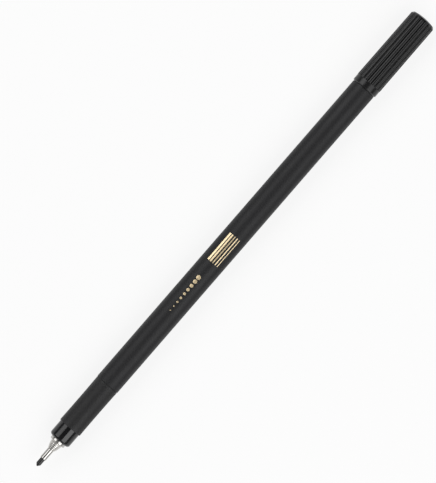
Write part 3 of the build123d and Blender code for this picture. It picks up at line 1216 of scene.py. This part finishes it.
@dataclass(frozen=True)
class RibbedCap:
    """The cap: a plain band at its mouth, ribs that run out over the crown, and the sealing cup."""

    mouth: float = 144.0
    mouth_edge: float = 0.3
    mouth_rounding: float = 0.06
    lip_rounding: float = 0.04
    band_end: float = 146.2
    band_radius: float = 4.085
    band_front_rounding: float = 0.2
    band_end_rounding: float = 0.012
    bore: float = 3.5
    bore_rounding: float = 0.1
    lead_in: float = 0.2
    ledge: float = 160.3
    tail_radius: float = 2.8
    tail_end: float = 169.65
    crown_top: float = 170.85
    crown_rise: float = 0.6
    crown_edge: float = 0.55
    crown_edge_angle: float = 38.0
    crown_rounding: float = 0.12
    crown_steps: int = 10
    vent_radius: float = 0.8
    vent_rounding: float = 0.1
    rib_count: int = 17
    rib_columns: int = 20
    rib_depth: float = 0.36
    groove_depth: float = 0.16
    groove_share: float = 0.2
    rib_lead: float = 0.05
    crest_radius: float = 4.16
    taper: float = 0.085

    @property
    def rim_radius(self) -> float:
        """Radius of the crests beside the crown."""
        return self.crest_radius - self.taper

    @property
    def crown_radius(self) -> float:
        """Radius of the ball that the crown is a part of."""
        return (self.rim_radius**2 + self.crown_rise**2) / (2 * self.crown_rise)

    @property
    def crown_run(self) -> float:
        """How far the bevel round the crown runs along the axis for each millimetre of radius."""
        return 1 / math.tan(math.radians(self.crown_edge_angle))

    @property
    def rod_radius(self) -> float:
        """Radius of the round rod whose back each rib is."""
        half_pitch = math.pi / self.rib_count
        valley = self.crest_radius - self.rib_depth
        rise = self.crest_radius - valley * math.cos(half_pitch)
        half_width = valley * math.sin(half_pitch)
        return (half_width**2 + rise**2) / (2 * rise)

    def crown_station(self, radius: float) -> float:
        """Return where the crown has a radius."""
        return self.crown_top - self.crown_radius + math.sqrt(self.crown_radius**2 - radius**2)

    @property
    def rib_end(self) -> float:
        """Station where the crests meet the bevel."""
        edge_radius = self.rim_radius - self.crown_edge
        return self.crown_station(edge_radius) - self.crown_edge * self.crown_run

    def crest_line(self) -> list[Place]:
        """Follow the crests from the band to the bevel, with rows that keep both ends crisp.

        Returns:
            The line's corners.
        """
        length = self.rib_end - self.band_end
        rows = (self.rib_lead, GUARD, length / 2, length - GUARD, length)
        return [(self.band_end + gone, self.crest_radius - self.taper * gone / length) for gone in rows]

    def crown_line(self) -> list[Place]:
        """Follow the crown from its bevel to the vent.

        Returns:
            The line's corners.
        """
        outer = self.rim_radius - self.crown_edge
        corners = [(self.crown_station(outer), outer, self.crown_rounding)]
        for step in range(1, self.crown_steps):
            radius = outer + (self.vent_radius - outer) * step / self.crown_steps
            corners.append((self.crown_station(radius), radius))
        corners.append((self.crown_station(self.vent_radius), self.vent_radius, self.vent_rounding))
        return corners

    def outline(self) -> Outline:
        """Return the cap before its ribs are worked in."""
        return Outline.of(
            (self.mouth, self.bore + self.lead_in, self.lip_rounding),
            (self.mouth, self.band_radius - self.mouth_edge, self.mouth_rounding),
            (self.mouth + self.mouth_edge, self.band_radius, self.band_front_rounding),
            (self.band_end, self.band_radius, self.band_end_rounding),
            *self.crest_line(),
            *self.crown_line(),
            (self.tail_end, self.vent_radius),
            (self.tail_end, self.tail_radius),
            (self.ledge, self.tail_radius),
            (self.ledge, self.bore),
            (self.mouth + self.lead_in, self.bore, self.bore_rounding),
        )

    def build(self, shop: Workshop) -> None:
        """Make the ribbed shell and dress the sealing cup.

        Args:
            shop: What the pieces are made with.
        """
        piece = shop.ribbing.make(
            "ribbed_shell",
            shop.finishes["cap_black"],
            self.outline().points(),
            segments=self.rib_count * self.rib_columns,
            rib_count=self.rib_count,
            rod_radius=self.rod_radius * MM,
            groove_depth=self.groove_depth * MM,
            groove_share=self.groove_share,
            rib_start=along_axis(self.band_end + self.rib_lead),
            rib_end=along_axis(self.rib_end),
            inner_limit=(self.bore + self.rim_radius) / 2 * MM,
            crown_run=self.crown_run,
        )
        shop.stand_in(piece, Body.CAP, "cap_shell")
        shop.dress_node("inner_cap", "seal_plastic")


@dataclass(frozen=True)
class InkCore:
    """The ink reservoir and the film round it, which the barrel hides."""

    slots: tuple[tuple[str, str], ...] = (("ink_reservoir", "ink_core"), ("reservoir_film", "clear_film"))

    def build(self, shop: Workshop) -> None:
        """Dress both nodes."""
        for node, slot in self.slots:
            shop.dress_node(node, slot)


@dataclass(frozen=True)
class StripLight:
    """A long soft light that hangs beside one half of the pen."""

    name: str
    side: int  # 1 on the pen's left, towards +Y, and -1 on its right
    middle: float  # place of its middle along the pen
    power: float  # in watts
    angle: float = 43.0  # from straight above, in degrees
    distance: float = 0.7  # from the pen's middle line
    length: float = 0.6  # along the pen
    width: float = 0.48  # across the pen

    def hang(self) -> None:
        """Hang the light, facing the pen and unseen by the camera."""
        lamp = bpy.data.lights.new(self.name, "AREA")
        lamp.shape = "RECTANGLE"
        lamp.size = self.length
        lamp.size_y = self.width
        lamp.energy = self.power
        light = bpy.data.objects.new(self.name, lamp)
        angle = math.radians(self.angle) * self.side
        light.location = (self.middle, self.distance * math.sin(angle), self.distance * math.cos(angle))
        light.rotation_euler = (-angle, 0.0, 0.0)
        light.visible_camera = False
        bpy.context.scene.collection.objects.link(light)


@dataclass(frozen=True)
class Studio:
    """A pale floor, soft lights along both sides of the pen, and a camera straight above it."""

    floor_size: float = 8.0
    paper: float = 0.85  # grey of the floor
    glow: float = 0.85  # how far the floor is plain white where it is seen, the rest keeps its shadow
    horizon: float = 0.17  # strength of the room's light at the horizon
    zenith: float = 0.1  # strength of the room's light straight above
    lights: tuple[StripLight, ...] = (
        StripLight("left_nib_light", side=1, middle=-0.21, power=1.19, length=0.42),
        StripLight("left_cap_light", side=1, middle=0.3, power=2.45),
        StripLight("right_nib_light", side=-1, middle=-0.3, power=3.0, angle=41.0, width=0.54),
        StripLight("right_cap_light", side=-1, middle=0.3, power=1.62),
    )
    camera_distance: float = 1.5  # from the pen's axis
    camera_reach: float = 50.0  # up to which the camera sees
    camera_roll: float = 49.08  # angle that the pen rises at in the picture, in degrees
    picture_height: float = 139.33  # at the pen's axis, in millimetres
    aim: tuple[float, float] = (3.671, -0.144)  # from the picture's middle to the pen's, in millimetres
    sensor: float = 36.0  # size of the camera's sensor, in millimetres

    def floor_material(self) -> Material:
        """Make the floor's paper, white to camera, mirrors and glass except in the pen's shadow.

        Returns:
            The material.
        """
        material = bpy.data.materials.new("pale_floor")
        material.use_nodes = True
        nodes = material.node_tree.nodes
        nodes.remove(nodes["Principled BSDF"])
        wiring = Wiring(material.node_tree)
        paper = wiring.out("ShaderNodeBsdfDiffuse", {"Color": (self.paper, self.paper, self.paper)})
        glow = wiring.out("ShaderNodeEmission", {"Color": WHITE, "Strength": 1.0})
        path = wiring.add("ShaderNodeLightPath").outputs
        mirrored = wiring.math("MAXIMUM", path["Is Glossy Ray"], path["Is Transmission Ray"])
        seen = wiring.math("MAXIMUM", path["Is Camera Ray"], mirrored)
        share = wiring.math("MULTIPLY", seen, self.glow)
        mixed = wiring.out("ShaderNodeMixShader", {0: share, 1: paper, 2: glow})
        wiring.feed(nodes["Material Output"].inputs["Surface"], mixed)
        return material

    def floor(self) -> None:
        """Lay the floor."""
        half = self.floor_size / 2
        corners = [(-half, -half, 0), (half, -half, 0), (half, half, 0), (-half, half, 0)]
        mesh = bpy.data.meshes.new("floor")
        mesh.from_pydata(corners, [], [range(len(corners))])
        mesh.materials.append(self.floor_material())
        floor = bpy.data.objects.new("floor", mesh)
        bpy.context.scene.collection.objects.link(floor)

    def surroundings(self) -> None:
        """Surround the pen with a dim room that is darkest overhead."""
        world = bpy.data.worlds.new("studio")
        world.use_nodes = True
        wiring = Wiring(world.node_tree)
        _, _, up = wiring.split(wiring.out("ShaderNodeTexCoord", output="Generated"))
        room = world.node_tree.nodes["Background"].inputs
        wiring.feed(room["Color"], WHITE)
        wiring.feed(room["Strength"], wiring.spread(up, self.horizon, self.zenith))
        bpy.context.scene.world = world

    def camera(self) -> None:
        """Set the camera straight above the pen, turned so that the pen rises to the right."""
        data = bpy.data.cameras.new("camera")
        data.sensor_width = self.sensor
        data.lens = self.sensor * self.camera_distance / (self.picture_height * MM)
        data.clip_end = self.camera_reach
        camera = bpy.data.objects.new("camera", data)
        roll = math.radians(self.camera_roll)
        right = Vector((math.cos(roll), -math.sin(roll), 0.0))
        above = Vector((math.sin(roll), math.cos(roll), 0.0))
        place = (right * -self.aim[0] - above * self.aim[1]) * MM
        camera.location = (place.x, place.y, self.camera_distance + AXIS_HEIGHT * MM)
        camera.rotation_euler = (0.0, 0.0, -roll)
        bpy.context.scene.collection.objects.link(camera)
        bpy.context.scene.camera = camera

    def build(self) -> None:
        """Set up the floor, the lights, the surroundings and the camera."""
        self.floor()
        for light in self.lights:
            light.hang()
        self.surroundings()
        self.camera()
        bpy.context.scene.view_settings.view_transform = "Standard"


def main() -> None:
    """Load the frame, build every sub-assembly and set up the studio."""
    logging.basicConfig(level=logging.INFO, format="%(name)s: %(message)s")
    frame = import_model()
    turning = TurningTree()
    shop = Workshop(turning, RibbingTree(turning), MarkTree(), Finishes(), frame["nodes"])
    for assembly in (WritingPoint(), GripSection(), Barrel(), RibbedCap(), InkCore()):
        assembly.build(shop)
    Studio().build()


if __name__ == "__main__":
    main()
